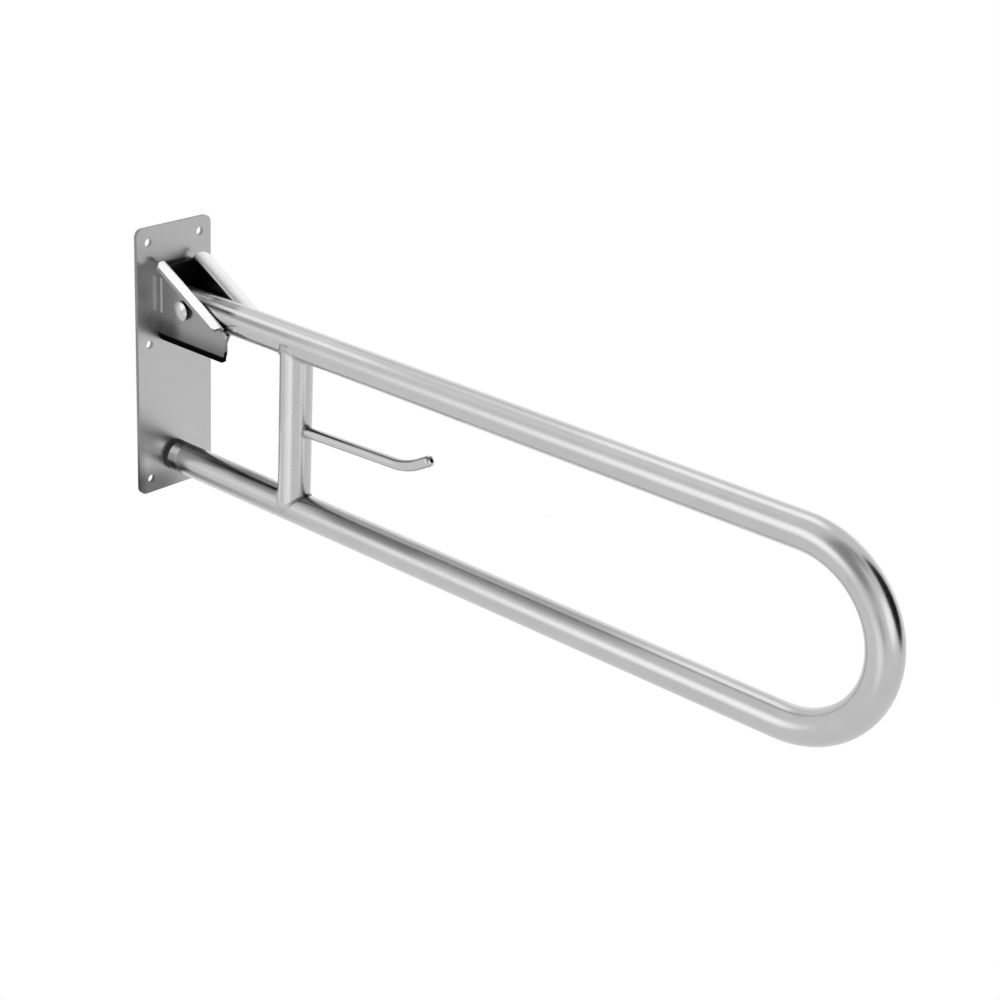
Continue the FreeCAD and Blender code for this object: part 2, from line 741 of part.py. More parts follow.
def heel_cap():
    """Cap with a spigot, in the open end of the upper run behind the pivot."""
    body = new_body("heel_cap", x=HEEL_X, z=s.pivot_up)
    half = new_sketch(body, "XY_Plane")
    spigot = RAIL_BORE / 2 - s.spigot_play
    draw_outline(half, [(-s.heel_cap_thickness, ZERO), (s.heel_spigot, ZERO), (s.heel_spigot, spigot),
                        (ZERO, spigot), (ZERO, RAIL_RADIUS),
                        (-s.heel_cap_thickness, RAIL_RADIUS, s.heel_cap_edge)])
    turn(body, half, "H_Axis")


def end_plug():
    """End of the lower run: a collar as wide as the tube, a spigot in it and a stud hole."""
    body = new_body("end_plug", x=COLLAR_X, z=LOWER_UP)
    half = new_sketch(body, "XY_Plane")
    spigot = RAIL_BORE / 2 - s.spigot_play
    spigot_end = s.end_collar_length + s.end_spigot
    hole_end = s.stud_length + s.stud_hole_spare
    hole = s.stud_diameter / 2
    draw_outline(half, [
        (ZERO, hole), (hole_end, hole), (hole_end, ZERO), (spigot_end, ZERO), (spigot_end, spigot),
        (s.end_collar_length, spigot),
        (s.end_collar_length, RAIL_RADIUS, s.end_collar_edge),
        (ZERO, RAIL_RADIUS, s.end_collar_edge),
    ])
    turn(body, half, "H_Axis")


def bumper_stud():
    """Threaded stud on a disc that is moulded into the rubber."""
    body = new_body("bumper_stud", x=COLLAR_X, z=LOWER_UP)
    half = new_sketch(body, "XY_Plane")
    disc = s.stud_disc_diameter / 2
    draw_outline(half, [(-s.stud_disc_thickness, ZERO), (s.stud_length, ZERO),
                        (s.stud_length, s.stud_diameter / 2), (ZERO, s.stud_diameter / 2),
                        (ZERO, disc), (-s.stud_disc_thickness, disc)])
    turn(body, half, "H_Axis")


def stop_bumper():
    """Rubber disc that rests on the wall plate and takes the load of the level bar."""
    body = new_body("stop_bumper", x=s.plate_thickness, z=LOWER_UP)
    half = new_sketch(body, "XY_Plane")
    disc = s.stud_disc_diameter / 2
    disc_start = s.bumper_thickness - s.stud_disc_thickness
    draw_outline(half, [(ZERO, ZERO), (disc_start, ZERO), (disc_start, disc),
                        (s.bumper_thickness, disc), (s.bumper_thickness, RAIL_RADIUS),
                        (ZERO, RAIL_RADIUS, s.bumper_edge)])
    turn(body, half, "H_Axis")


def post_tube():
    """Upright tube between the runs, coped to both and drilled for the rod."""
    body = new_body("post_tube", x=s.post_distance)
    section = new_sketch(body, "XY_Plane", out=LOWER_UP)
    draw_circle(section, ZERO, ZERO, s.post_diameter)
    draw_circle(section, ZERO, ZERO, POST_BORE)
    pad(body, section, s.rail_spacing)
    copes = new_sketch(body, "YZ_Plane")
    for up in (s.pivot_up, LOWER_UP):
        draw_circle(copes, ZERO, up, s.rail_diameter)
    cut_through(body, copes)
    hole = new_sketch(body, "YZ_Plane")
    draw_circle(hole, ZERO, ROD_OUT_UP, s.rod_diameter + s.rod_hole_play * 2)
    cut_one_way(body, hole, POST_RADIUS + s.overrun, reverse=True)


def roll_rod():
    """Rod through the post's front wall, nearly level, turned up; only its end's middle is flat."""
    body = new_body("roll_rod", x=ROD_ROOT_X, z=ROD_ROOT_UP)
    path = new_sketch(body, "XZ_Plane")
    bend_up = s.rod_run.rise_over(s.rod_pitch_angle)
    tip_across = s.rod_run + s.rod_tip_length.along(s.rod_tip_angle)
    draw_outline(path, [
        (ZERO, ZERO),
        (s.rod_run, bend_up, s.rod_bend),
        (tip_across, bend_up + s.rod_tip_length.rise(s.rod_tip_angle)),
    ], closed=False)
    section = new_sketch(body, "YZ_Plane")
    draw_circle(section, ZERO, ZERO, s.rod_diameter)
    rod = sweep(body, section, path)

    def at_tip(edge):
        is_circle = isinstance(edge.Curve, Part.Circle)
        return is_circle and is_near(edge.CenterOfMass.x, tip_across.number)

    round_edges(body, rod, s.rod_diameter / 2 - s.rod_end_flat, at_tip)


# Weld beads that follow where two tubes meet

def cylinder(label, radius, length, x, y, z, lean):
    """A cylinder from a point, leaning from upright towards +X."""
    thing = doc.addObject("Part::Cylinder", label)
    thing.Placement = Placement(Vector(0, 0, 0), Rotation(Vector(0, 1, 0), lean.number))
    thing.setExpression("Placement.Rotation.Angle", lean.formula)
    thing.setExpression("Radius", radius.formula)
    thing.setExpression("Height", length.formula)
    place(thing, x, y, z)
    return thing


def combine(kind, label, base, tool):
    """Part::Common or Part::Cut of two shapes."""
    thing = doc.addObject(f"Part::{kind}", label)
    thing.Base = base
    thing.Tool = tool
    return thing


def saddle_bead(label, bead, branch, branch_fat, run, run_fat):
    """The ring where a branch meets a run: inside both fat cylinders, outside both true ones."""
    both = combine("Common", f"{label}_both", branch_fat, run_fat)
    open_run = combine("Cut", f"{label}_open", both, run)
    return combine("Cut", bead, open_run, branch)


def post_welds():
    """A bead round each end of the post, on the run that it meets."""
    beads = []
    reach = RAIL_RADIUS + s.post_weld + s.overrun
    start_x = s.post_distance - POST_RADIUS - s.post_weld - s.overrun
    across = (POST_RADIUS + s.post_weld + s.overrun) * 2
    for end, up, low in (("upper", s.pivot_up, s.pivot_up - reach), ("lower", LOWER_UP, LOWER_UP)):
        branch = cylinder(f"{end}_post", POST_RADIUS, reach, s.post_distance, ZERO, low, UPRIGHT)
        branch_fat = cylinder(f"{end}_post_fat", POST_RADIUS + s.post_weld, reach,
                              s.post_distance, ZERO, low, UPRIGHT)
        run = cylinder(f"{end}_run", RAIL_RADIUS, across, start_x, ZERO, up, LEVEL)
        run_fat = cylinder(f"{end}_run_fat", RAIL_RADIUS + s.post_weld, across,
                           start_x, ZERO, up, LEVEL)
        beads.append(saddle_bead(end, f"{end}_post_weld", branch, branch_fat, run, run_fat))
    group = doc.addObject("Part::Compound", "post_welds")
    group.Links = beads
    group.Label = "post_welds"


def rod_weld():
    """A bead round the rod, where it comes out of the post."""
    reach = POST_RADIUS + s.rod_weld + s.overrun
    low = ROD_OUT_UP - s.rod_diameter
    run_length = s.rod_diameter * 2
    lean = LEVEL - s.rod_pitch_angle
    rod = cylinder("rod_true", s.rod_diameter / 2, reach,
                   s.post_distance, ZERO, ROD_MIDDLE_UP, lean)
    rod_fat = cylinder("rod_fat", s.rod_diameter / 2 + s.rod_weld, reach,
                       s.post_distance, ZERO, ROD_MIDDLE_UP, lean)
    post = cylinder("post_true", POST_RADIUS, run_length, s.post_distance, ZERO, low, UPRIGHT)
    post_fat = cylinder("post_fat", POST_RADIUS + s.rod_weld, run_length,
                        s.post_distance, ZERO, low, UPRIGHT)
    bead = saddle_bead("rod_bead", "rod_weld", rod, rod_fat, post, post_fat)
    bead.Label = "rod_weld"


PIECES = (
    wall_plate, hinge_bracket, tie_plate, bracket_welds,
    pivot_bolt, nut_washer, disc_springs, lock_nut, nut_insert,
    pivot_sleeve, pivot_bushings,
    rail_tube, heel_cap, end_plug, bumper_stud, stop_bumper,
    post_tube, post_welds, roll_rod, rod_weld,
)


def check_document():
    """Stop if any object has failed, or a piece has no sound solid."""
    failed = [item.Name for item in doc.Objects if {"Invalid", "Error"} & set(item.State)]
    if failed:
        raise RuntimeError(f"failed objects: {failed}")
    for piece in PIECES:
        shape = doc.getObjectsByLabel(piece.__name__)[0].Shape
        if shape.isNull() or not shape.isValid() or not shape.Solids:
            raise RuntimeError(f"{piece.__name__} has no sound solid")


def write_parts():
    """Write each piece to a file that has the piece's own name."""
    os.makedirs("parts", exist_ok=True)
    for piece in PIECES:
        shape = doc.getObjectsByLabel(piece.__name__)[0].Shape
        shape.exportStep(os.path.join("parts", f"{piece.__name__}.step"))
        box = shape.BoundBox
        print(f"{piece.__name__}: solids {len(shape.Solids)}, volume {shape.Volume:.1f}, "
              f"x {box.XMin:.2f} to {box.XMax:.2f}, y {box.YMin:.2f} to {box.YMax:.2f}, "
              f"z {box.ZMin:.2f} to {box.ZMax:.2f}")


for make_piece in PIECES:
    make_piece()
doc.recompute()
check_document()
write_parts()
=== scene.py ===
import math
from collections import namedtuple

import bpy
from mathutils import Matrix, Vector

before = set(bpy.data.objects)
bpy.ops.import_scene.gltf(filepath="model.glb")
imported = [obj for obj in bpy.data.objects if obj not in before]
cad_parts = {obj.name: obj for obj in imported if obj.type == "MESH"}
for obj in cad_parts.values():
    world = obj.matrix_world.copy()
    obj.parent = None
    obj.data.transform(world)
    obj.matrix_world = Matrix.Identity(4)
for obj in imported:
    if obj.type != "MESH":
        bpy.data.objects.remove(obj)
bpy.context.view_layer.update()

# Camera: where the photograph was taken from, in metres, degrees and the lens's millimetres
CAMERA_PLACE = Vector((1.4756, -1.26377, 0.70957))
CAMERA_AZIMUTH = 39.36
CAMERA_ELEVATION = 23.873
CAMERA_ROLL = 3.584
CAMERA_LENS = 72.502
CAMERA_NEAREST = 0.01
SENSOR_WIDTH = 36.0

# Floor: sizes in metres, its colour, and how much light of its own brings it up to white
FLOOR_DROP = 0.80
FLOOR_RADIUS = 1.5
FLOOR_SIDES = 96
FLOOR_COLOUR = 0.82
FLOOR_LIFT = 0.27

# Room: what it adds to white in some directions, or takes away. Azimuth runs from +X towards +Y.
# Azimuth, elevation and the reach each way are in degrees. A patch has its full change within
# the core's share of its reach and fades out from there.
Patch = namedtuple("Patch", "name azimuth elevation wide high change")
ROOM_PATCHES = (
    Patch("left_box", -112, 12, 26, 26, 0.80),
    Patch("front_box", -12, 12, 26, 26, 0.70),
    Patch("back_box", 142, 62, 44, 28, 0.75),
    Patch("far_glow", 97, 0, 26, 24, 0.35),
    Patch("rear_glow", 127, 8, 22, 22, 0.20),
    Patch("low_glow", -85, -22, 26, 16, 0.35),
    Patch("wall_glow", -156, 50, 20, 16, 0.14),
    Patch("dark_flag", 38, 22, 32, 40, -2.60),
    Patch("grey_flag", -72, 45, 38, 48, -0.60),
    Patch("grey_ceiling", -15, 70, 66, 26, -0.50),
    Patch("low_grey", -60, -4, 16, 14, -0.35),
)
PATCH_CORE = 0.35

# Steel finishes: roughness, how many grain cells a metre holds along X, Y and Z, and the grain's
# depth in metres
Finish = namedtuple("Finish", "roughness grain depth")
RAIL_FINISH = Finish(0.21, (1600, 60, 60), 0.00002)
POST_FINISH = Finish(0.28, (60, 60, 1600), 0.000008)
ROD_FINISH = Finish(0.12, (900, 200, 200), 0.00001)
BOLT_FINISH = Finish(0.14, (400, 400, 400), 0.00001)
WELD_FINISH = Finish(0.30, (500, 500, 500), 0.0001)
PLATE_FINISH = Finish(0.32, (60, 1400, 60), 0.00002)
BRACKET_FINISH = Finish(0.28, (60, 60, 1400), 0.00002)
TIE_FINISH = Finish(0.20, (60, 1400, 60), 0.00002)

# Unevenness of every steel: how far its clouds and its grain lines move the tone (as a share)
# and the roughness
STEEL_CLOUD_SCALE = 26.0
STEEL_CLOUD_DETAIL = 3.0
CLOUD_TONE_SWING = 0.025
LINES_TONE_SWING = 0.020
CLOUD_ROUGH_SWING = 0.020
LINES_ROUGH_SWING = 0.015
STEEL_BUMP = 0.5

# Matte pieces: material, node, tone, roughness, grain cells in a metre, grain depth in metres
Matte = namedtuple("Matte", "name node tone roughness scale depth")
MATTE_PIECES = (
    Matte("bumper_rubber", "stop_bumper", 0.022, 0.55, 900, 0.0001),
    Matte("black_plastic", "heel_cap", 0.030, 0.45, 1400, 0.00005),
    Matte("bush_plastic", "pivot_bushings", 0.050, 0.50, 1400, 0.00005),
    Matte("nylon", "nut_insert", 0.750, 0.40, 1400, 0.00005),
)
MATTE_GRAIN_DETAIL = 4.0
MATTE_GRAIN_ROUGHNESS = 0.6
MATTE_CLOUD_SCALE = 60.0
MATTE_TONE_SWING = 0.2
MATTE_ROUGH_SWING = 0.06
MATTE_BUMP = 0.6

# The range that holds most of a noise's values
NOISE_RANGE = (0.3, 0.7)

# Faces of the bracket's cheeks, in metres from the middle
CHEEK_INSIDE = 0.0175
CHEEK_OUTSIDE = 0.0215


def add_camera():
    """The photograph's camera, built from its own three axes."""
    azimuth = math.radians(CAMERA_AZIMUTH)
    elevation = math.radians(CAMERA_ELEVATION)
    roll = math.radians(CAMERA_ROLL)
    back = Vector((math.sin(azimuth) * math.cos(elevation),
                   -math.cos(azimuth) * math.cos(elevation),
                   math.sin(elevation)))
    level_right = (-back).cross(Vector((0, 0, 1))).normalized()
    level_up = level_right.cross(-back)
    right = level_right * math.cos(roll) + level_up * math.sin(roll)
    up = level_up * math.cos(roll) - level_right * math.sin(roll)
    camera = bpy.data.cameras.new("camera")
    camera.lens = CAMERA_LENS
    camera.sensor_width = SENSOR_WIDTH
    camera.clip_start = CAMERA_NEAREST
    placed = bpy.data.objects.new("camera", camera)
    placed.matrix_world = (Matrix.Translation(CAMERA_PLACE)
                           @ Matrix((right, up, back)).transposed().to_4x4())
    bpy.context.scene.collection.objects.link(placed)
    bpy.context.scene.camera = placed


class Tree:
    """Short calls that add nodes to one node tree."""

    def __init__(self, tree):
        self.tree = tree
        tree.nodes.clear()

    def add(self, kind, **settings):
        node = self.tree.nodes.new(f"ShaderNode{kind}")
        for name, value in settings.items():
            setattr(node, name, value)
        return node

    def feed(self, socket, value):
        """Link an output, or set a plain number or colour."""
        if isinstance(value, bpy.types.NodeSocket):
            self.tree.links.new(value, socket)
        else:
            socket.default_value = value

    def finish(self, kind, shader):
        """The tree's output node, "World" or "Material"."""
        self.feed(self.add(f"Output{kind}").inputs["Surface"], shader.outputs[0])

    def math(self, operation, *values):
        node = self.add("Math", operation=operation)
        for socket, value in zip(node.inputs, values):
            self.feed(socket, value)
        return node.outputs[0]

    def times(self, first, *others):
        for other in others:
            first = self.math("MULTIPLY", first, other)
        return first

    def length(self, across, up):
        """Length of a flat vector."""
        return self.math("SQRT", self.math("ADD", self.times(across, across), self.times(up, up)))

    def ramp(self, value, low, high, start=0.0, end=1.0, kind="SMOOTHSTEP"):
        """Carry a value from one range to another, smoothly and clamped."""
        node = self.add("MapRange", interpolation_type=kind)
        for socket, number in zip(node.inputs, (value, low, high, start, end)):
            self.feed(socket, number)
        return node.outputs[0]

    def fall(self, value, low, high):
        """1 up to a low value, fading to 0 at a high one."""
        return self.ramp(value, low, high, 1.0, 0.0)

    def near(self, value, centre, reach, soft):
        """1 within a reach of a centre, fading to 0 past it."""
        off = self.math("ABSOLUTE", self.math("SUBTRACT", value, centre))
        return self.fall(off, reach, reach + soft)

    def mix(self, share, first, second):
        node = self.add("Mix", data_type="FLOAT")
        for socket, value in zip(node.inputs, (share, None, first, second)):
            if value is not None:
                self.feed(socket, value)
        return node.outputs[0]

    def dim(self, tone, share, least):
        """Take a tone down to a least part of itself where a share is 1."""
        return self.times(tone, self.mix(share, 1.0, least))

    def grey(self, value):
        node = self.add("CombineColor")
        for socket in node.inputs:
            self.feed(socket, value)
        return node.outputs[0]

    def noise(self, vector, scale, detail=2.0, roughness=0.5):
        node = self.add("TexNoise")
        self.feed(node.inputs["Vector"], vector)
        for name, value in (("Scale", scale), ("Detail", detail), ("Roughness", roughness)):
            self.feed(node.inputs[name], value)
        return node.outputs["Fac"]

    def swing(self, noise, middle, by):
        """Carry a noise to values that swing about a middle."""
        return self.ramp(noise, *NOISE_RANGE, middle - by, middle + by, "LINEAR")

    def stretched(self, vector, scales):
        node = self.add("VectorMath", operation="MULTIPLY")
        self.feed(node.inputs[0], vector)
        self.feed(node.inputs[1], scales)
        return node.outputs[0]

    def parts(self, vector):
        node = self.add("SeparateXYZ")
        self.feed(node.inputs[0], vector)
        return node.outputs

    def turned(self, normal, way="Z"):
        """How far a tube's face is turned from the near side towards +Z or +X, in degrees."""
        facing = self.parts(normal)
        near_way = self.times(facing["Y"], -1.0)
        return self.math("DEGREES", self.math("ARCTAN2", facing[way], near_way))

    def bump(self, height, depth, strength):
        node = self.add("Bump")
        for name, value in (("Strength", strength), ("Distance", depth), ("Height", height)):
            self.feed(node.inputs[name], value)
        return node.outputs[0]


def set_room():
    """White room with soft boxes and flags; the camera itself sees plain white."""
    world = bpy.data.worlds.new("room")
    world.use_nodes = True
    bpy.context.scene.world = world
    tree = Tree(world.node_tree)
    direction = tree.parts(tree.add("TexCoord").outputs["Generated"])
    azimuth = tree.math("DEGREES", tree.math("ARCTAN2", direction["Y"], direction["X"]))
    elevation = tree.math("DEGREES", tree.math("ARCSINE", direction["Z"]))
    light = 1.0
    for patch in ROOM_PATCHES:
        off = tree.math("WRAP", tree.math("SUBTRACT", azimuth, patch.azimuth), 180.0, -180.0)
        across = tree.math("DIVIDE", off, patch.wide)
        up = tree.math("DIVIDE", tree.math("SUBTRACT", elevation, patch.elevation), patch.high)
        change = tree.ramp(tree.length(across, up), PATCH_CORE, 1.0, patch.change, 0.0)
        light = tree.math("ADD", light, change)
    light = tree.math("MAXIMUM", light, 0.0)
    seen = tree.add("LightPath").outputs["Is Camera Ray"]
    background = tree.add("Background")
    tree.feed(background.inputs["Color"], (1, 1, 1, 1))
    tree.feed(background.inputs["Strength"], tree.mix(seen, light, 1.0))
    tree.finish("World", background)


def add_floor():
    """Round pale floor, far below the bar; it keeps the shadow and is seen as white."""
    material = bpy.data.materials.new("floor")
    material.use_nodes = True
    tree = Tree(material.node_tree)
    diffuse = tree.add("BsdfDiffuse")
    tree.feed(diffuse.inputs["Color"], (FLOOR_COLOUR, FLOOR_COLOUR, FLOOR_COLOUR, 1))
    path = tree.add("LightPath").outputs
    seen = tree.math("MAXIMUM", path["Is Camera Ray"],
                     tree.math("MAXIMUM", path["Is Glossy Ray"], path["Is Transmission Ray"]))
    lift = tree.add("Emission")
    tree.feed(lift.inputs["Strength"], tree.times(seen, FLOOR_LIFT))
    both = tree.add("AddShader")
    tree.feed(both.inputs[0], diffuse.outputs[0])
    tree.feed(both.inputs[1], lift.outputs[0])
    tree.finish("Material", both)
    corners = [(FLOOR_RADIUS * math.cos(math.tau * side / FLOOR_SIDES),
                FLOOR_RADIUS * math.sin(math.tau * side / FLOOR_SIDES), -FLOOR_DROP)
               for side in range(FLOOR_SIDES)]
    mesh = bpy.data.meshes.new("floor")
    mesh.from_pydata(corners, [], [range(FLOOR_SIDES)])
    mesh.materials.append(material)
    floor = bpy.data.objects.new("floor", mesh)
    bpy.context.scene.collection.objects.link(floor)


def new_tree(name):
    """A material, its tree, and the place and the normal on the piece in the frame's axes."""
    material = bpy.data.materials.new(name)
    material.use_nodes = True
    tree = Tree(material.node_tree)
    point = tree.add("TexCoord")
    return material, tree, point.outputs["Object"], point.outputs["Normal"]


def finish_material(material, tree, colour, metallic, roughness, normal, **plain):
    """Principled shader with linked colour, roughness and bump; the rest is plain."""
    shader = tree.add("BsdfPrincipled")
    tree.feed(shader.inputs["Base Color"], colour)
    tree.feed(shader.inputs["Metallic"], metallic)
    tree.feed(shader.inputs["Roughness"], roughness)
    tree.feed(shader.inputs["Normal"], normal)
    for name, value in plain.items():
        tree.feed(shader.inputs[name.replace("_", " ")], value)
    tree.finish("Material", shader)
    return material


def finish_steel(material, tree, place, tone, finish, metallic=1.0, **plain):
    """Steel of a given tone: cloudy sheen, fine grain lines and their bump."""
    cloud = tree.noise(place, STEEL_CLOUD_SCALE, STEEL_CLOUD_DETAIL)
    lines = tree.noise(tree.stretched(place, finish.grain), 1.0)
    shade = tree.times(tree.swing(cloud, 1.0, CLOUD_TONE_SWING),
                       tree.swing(lines, 1.0, LINES_TONE_SWING))
    rough = tree.math("ADD", tree.swing(cloud, 0.0, CLOUD_ROUGH_SWING),
                      tree.swing(lines, 0.0, LINES_ROUGH_SWING))
    return finish_material(material, tree, tree.grey(tree.times(tone, shade)), metallic,
                           tree.math("ADD", finish.roughness, rough),
                           tree.bump(lines, finish.depth, STEEL_BUMP), **plain)


# Rail: where its two runs are along Z
RAIL_TONE = 0.50
UPPER_RUN_Z = (0.035, 0.045)
LOWER_RUN_Z = (-0.090, -0.085)
# Stretches of a run along X: the middle, the reach to either side and how far it fades
RAIL_STRETCHES = {
    "by_bracket": (0.078, 0.018, 0.014),
    "by_plate": (0.100, 0.030, 0.030),
    "past_bracket": (0.115, 0.030, 0.080),
    "by_post": (0.135, 0.020, 0.025),
    "highlight_line": (0.180, 0.060, 0.120),
    "past_post": (0.295, 0.035, 0.060),
    "midway": (0.390, 0.100, 0.080),
}
# Stretches that begin or end once along X, and what is left of them before and after
IN_BRACKET_X = (0.060, 0.070)
UNDERSIDE_X = (0.030, 0.230)
ALONG_START_X = (0.045, 0.075)
ALONG_START_SHARE = 0.3
ALONG_END_X = (0.52, 0.68)
ALONG_END_SHARE = 0.15
# Bands along the rail, painted on: the dark ones are painted dark reflections and painted shade,
# the bright ones painted highlights. Each gives run, stretch, the angle of the band's middle from
# the near side up towards the top, its reach to either side and how far it fades, in degrees. A
# dark band ends with the share of the tone that it leaves, and a bright one with its own tone.
PAINTED_DARK_BANDS = (
    ("lower", "along", 65, 11, 20, 0.48),
    ("lower", "past_post", 48, 8, 12, 0.62),
    ("lower", "by_post", 52, 8, 12, 0.72),
    ("lower", "by_post", 84, 6, 8, 0.65),
    ("lower", "by_plate", 100, 14, 10, 0.72),
    ("lower", "underside", -12, 6, 9, 0.42),
    ("upper", "by_bracket", 49, 9, 10, 0.20),
    ("upper", "past_bracket", 35, 3, 8, 0.68),
    ("upper", "by_bracket", 72, 10, 12, 0.60),
    ("upper", "midway", 72, 7, 9, 0.84),
)
PAINTED_HIGHLIGHT_BANDS = (
    ("upper", "in_bracket", 82, 14, 12, 0.90),
    ("upper", "highlight_line", 53, 3, 8, 0.73),
)


def tube_steel():
    """Satin tube with polishing lines round it, bands of painted shade and reflection, and
    painted highlights.
    """
    material, tree, place, normal = new_tree("tube_steel")
    spot = tree.parts(place)
    turned = tree.turned(normal)
    masks = {name: tree.near(spot["X"], *stretch) for name, stretch in RAIL_STRETCHES.items()}
    masks["upper"] = tree.ramp(spot["Z"], *UPPER_RUN_Z)
    masks["lower"] = tree.fall(spot["Z"], *LOWER_RUN_Z)
    masks["in_bracket"] = tree.fall(spot["X"], *IN_BRACKET_X)
    masks["underside"] = tree.ramp(spot["X"], *UNDERSIDE_X, 1.0, 0.0, "LINEAR")
    masks["along"] = tree.times(
        tree.ramp(spot["X"], *ALONG_START_X, ALONG_START_SHARE, 1.0),
        tree.mix(tree.ramp(spot["X"], *ALONG_END_X), 1.0, ALONG_END_SHARE))
    tone = RAIL_TONE
    # Painted dark reflections and shade in bands, then the painted highlight bands
    for run, stretch, *angles, least in PAINTED_DARK_BANDS:
        share = tree.times(tree.near(turned, *angles), masks[stretch], masks[run])
        tone = tree.dim(tone, share, least)
    for run, stretch, *angles, most in PAINTED_HIGHLIGHT_BANDS:
        share = tree.times(tree.near(turned, *angles), masks[stretch], masks[run])
        tone = tree.mix(share, tone, most)
    return finish_steel(material, tree, place, tone, RAIL_FINISH)


# Post: painted highlight bands down it, by the angle from the near side towards +X, their reach
# and fade, in degrees, and the tone of each. The last is only on the lower part, along Z.
POST_TONE = 0.50
POST_HIGHLIGHT_BANDS = ((17, 7, 12, 0.62), (70, 5, 9, 0.66))
POST_LOW_HIGHLIGHT_BAND = (-26, 8, 12)
POST_LOW_HIGHLIGHT_TONE = 0.72
POST_LOW_Z = (-0.035, -0.015)


def post_steel():
    """The post's tube, with painted highlights in bands that run down it."""
    material, tree, place, normal = new_tree("post_steel")
    turned = tree.turned(normal, "X")
    tone = POST_TONE
    for *angles, most in POST_HIGHLIGHT_BANDS:
        tone = tree.mix(tree.near(turned, *angles), tone, most)
    low = tree.fall(tree.parts(place)["Z"], *POST_LOW_Z)
    tone = tree.mix(tree.times(tree.near(turned, *POST_LOW_HIGHLIGHT_BAND), low), tone, POST_LOW_HIGHLIGHT_TONE)
    return finish_steel(material, tree, place, tone, POST_FINISH)


# End plug: a painted highlight band and then painted shade bands, by the angle from the near side
# up
PLUG_TONE = 0.54
PLUG_HIGHLIGHT_BAND = (43, 6, 12)
PLUG_HIGHLIGHT_TONE = 0.90
PLUG_SHADE_BANDS = ((80, 14, 10, 0.55), (-15, 9, 16, 0.10))


def plug_steel():
    """The lower run's end piece: painted shade on top and under its near side, a painted
    highlight between.
    """
    material, tree, place, normal = new_tree("plug_steel")
    turned = tree.turned(normal)
    tone = tree.mix(tree.near(turned, *PLUG_HIGHLIGHT_BAND), PLUG_TONE, PLUG_HIGHLIGHT_TONE)
    for *angles, least in PLUG_SHADE_BANDS:
        tone = tree.dim(tone, tree.near(turned, *angles), least)
    return finish_steel(material, tree, place, tone, RAIL_FINISH)


# Rod: its painted dark reflection line by how far a face looks up, and where that line fades
# along X
ROD_TONE = 0.52
ROD_REFLECTION_LINE_UP = (0.82, 0.05, 0.13)
ROD_REFLECTION_LEAST = 0.12
ROD_FADE_X = (0.235, 0.275)
ROD_FADE_SHARE = 0.75


def rod_steel():
    """Brighter rod, with a painted dark reflection along its upper side, darkest beside the post.
    """
    material, tree, place, normal = new_tree("rod_steel")
    line = tree.near(tree.parts(normal)["Z"], *ROD_REFLECTION_LINE_UP)
    along = tree.ramp(tree.parts(place)["X"], *ROD_FADE_X, 1.0, ROD_FADE_SHARE)
    tone = tree.dim(ROD_TONE, tree.times(line, along), ROD_REFLECTION_LEAST)
    return finish_steel(material, tree, place, tone, ROD_FINISH)


# Bolt: the side of its head, which carries a painted dark reflection, is what looks neither out
# nor in, past the near cheek
BOLT_TONE = 0.52
HEAD_SIDE_FACING = (0.0, 0.3, 0.2)
HEAD_SIDE_REFLECTION_LEAST = 0.08
HEAD_MARGIN = 0.0001


def bolt_steel():
    """Bright crown and nut; the side of the bolt's head has a painted dark reflection."""
    material, tree, place, normal = new_tree("bolt_steel")
    side = tree.near(tree.parts(normal)["Y"], *HEAD_SIDE_FACING)
    head = tree.fall(tree.parts(place)["Y"], -CHEEK_OUTSIDE - HEAD_MARGIN,
                     -CHEEK_OUTSIDE + HEAD_MARGIN)
    tone = tree.dim(BOLT_TONE, tree.times(side, head), HEAD_SIDE_REFLECTION_LEAST)
    return finish_steel(material, tree, place, tone, BOLT_FINISH)


# Welds: painted shade on the rod's weld on top and below, and on the post's foot on its +X side
WELD_TONE = 0.44
WELD_SHADE_LEAST = 0.45
ROD_WELD_Z = (-0.010, 0.030, 0.010)
ROD_WELD_LEVEL = (0.35, 0.70)
POST_FOOT_X = (0.186, 0.191)
POST_FOOT_Z = (-0.080, -0.075)


def weld_steel():
    """Cleaned weld: coarser and a little darker than what it joins, with painted shade at two
    spots.
    """
    material, tree, place, normal = new_tree("weld_steel")
    spot = tree.parts(place)
    level = tree.math("ABSOLUTE", tree.parts(normal)["Z"])
    rod_shade = tree.times(tree.near(spot["Z"], *ROD_WELD_Z), tree.ramp(level, *ROD_WELD_LEVEL))
    foot_shade = tree.times(tree.ramp(spot["X"], *POST_FOOT_X), tree.fall(spot["Z"], *POST_FOOT_Z))
    tone = tree.dim(WELD_TONE, tree.math("MAXIMUM", rod_shade, foot_shade), WELD_SHADE_LEAST)
    return finish_steel(material, tree, place, tone, WELD_FINISH)


# Wall plate: its face and cut edges by how far they look along X, the lower near corner, whose
# painted shade is a quarter of an oval, and the painted shade on the near flank above it
PLATE_TONE = 0.54
PLATE_EDGE_TONE = 0.24
PLATE_FACE = (0.3, 0.8)
PLATE_FRONT = (-0.5, 0.0)
CORNER_WIDE = 0.080
CORNER_HIGH = 0.040
CORNER_CORE = 0.35
CORNER_SHADE_LEAST = 0.34
FLANK_Y = (-0.047, -0.037)
FLANK_Z = (-0.110, -0.070)
FLANK_SHADE_LEAST = 0.60


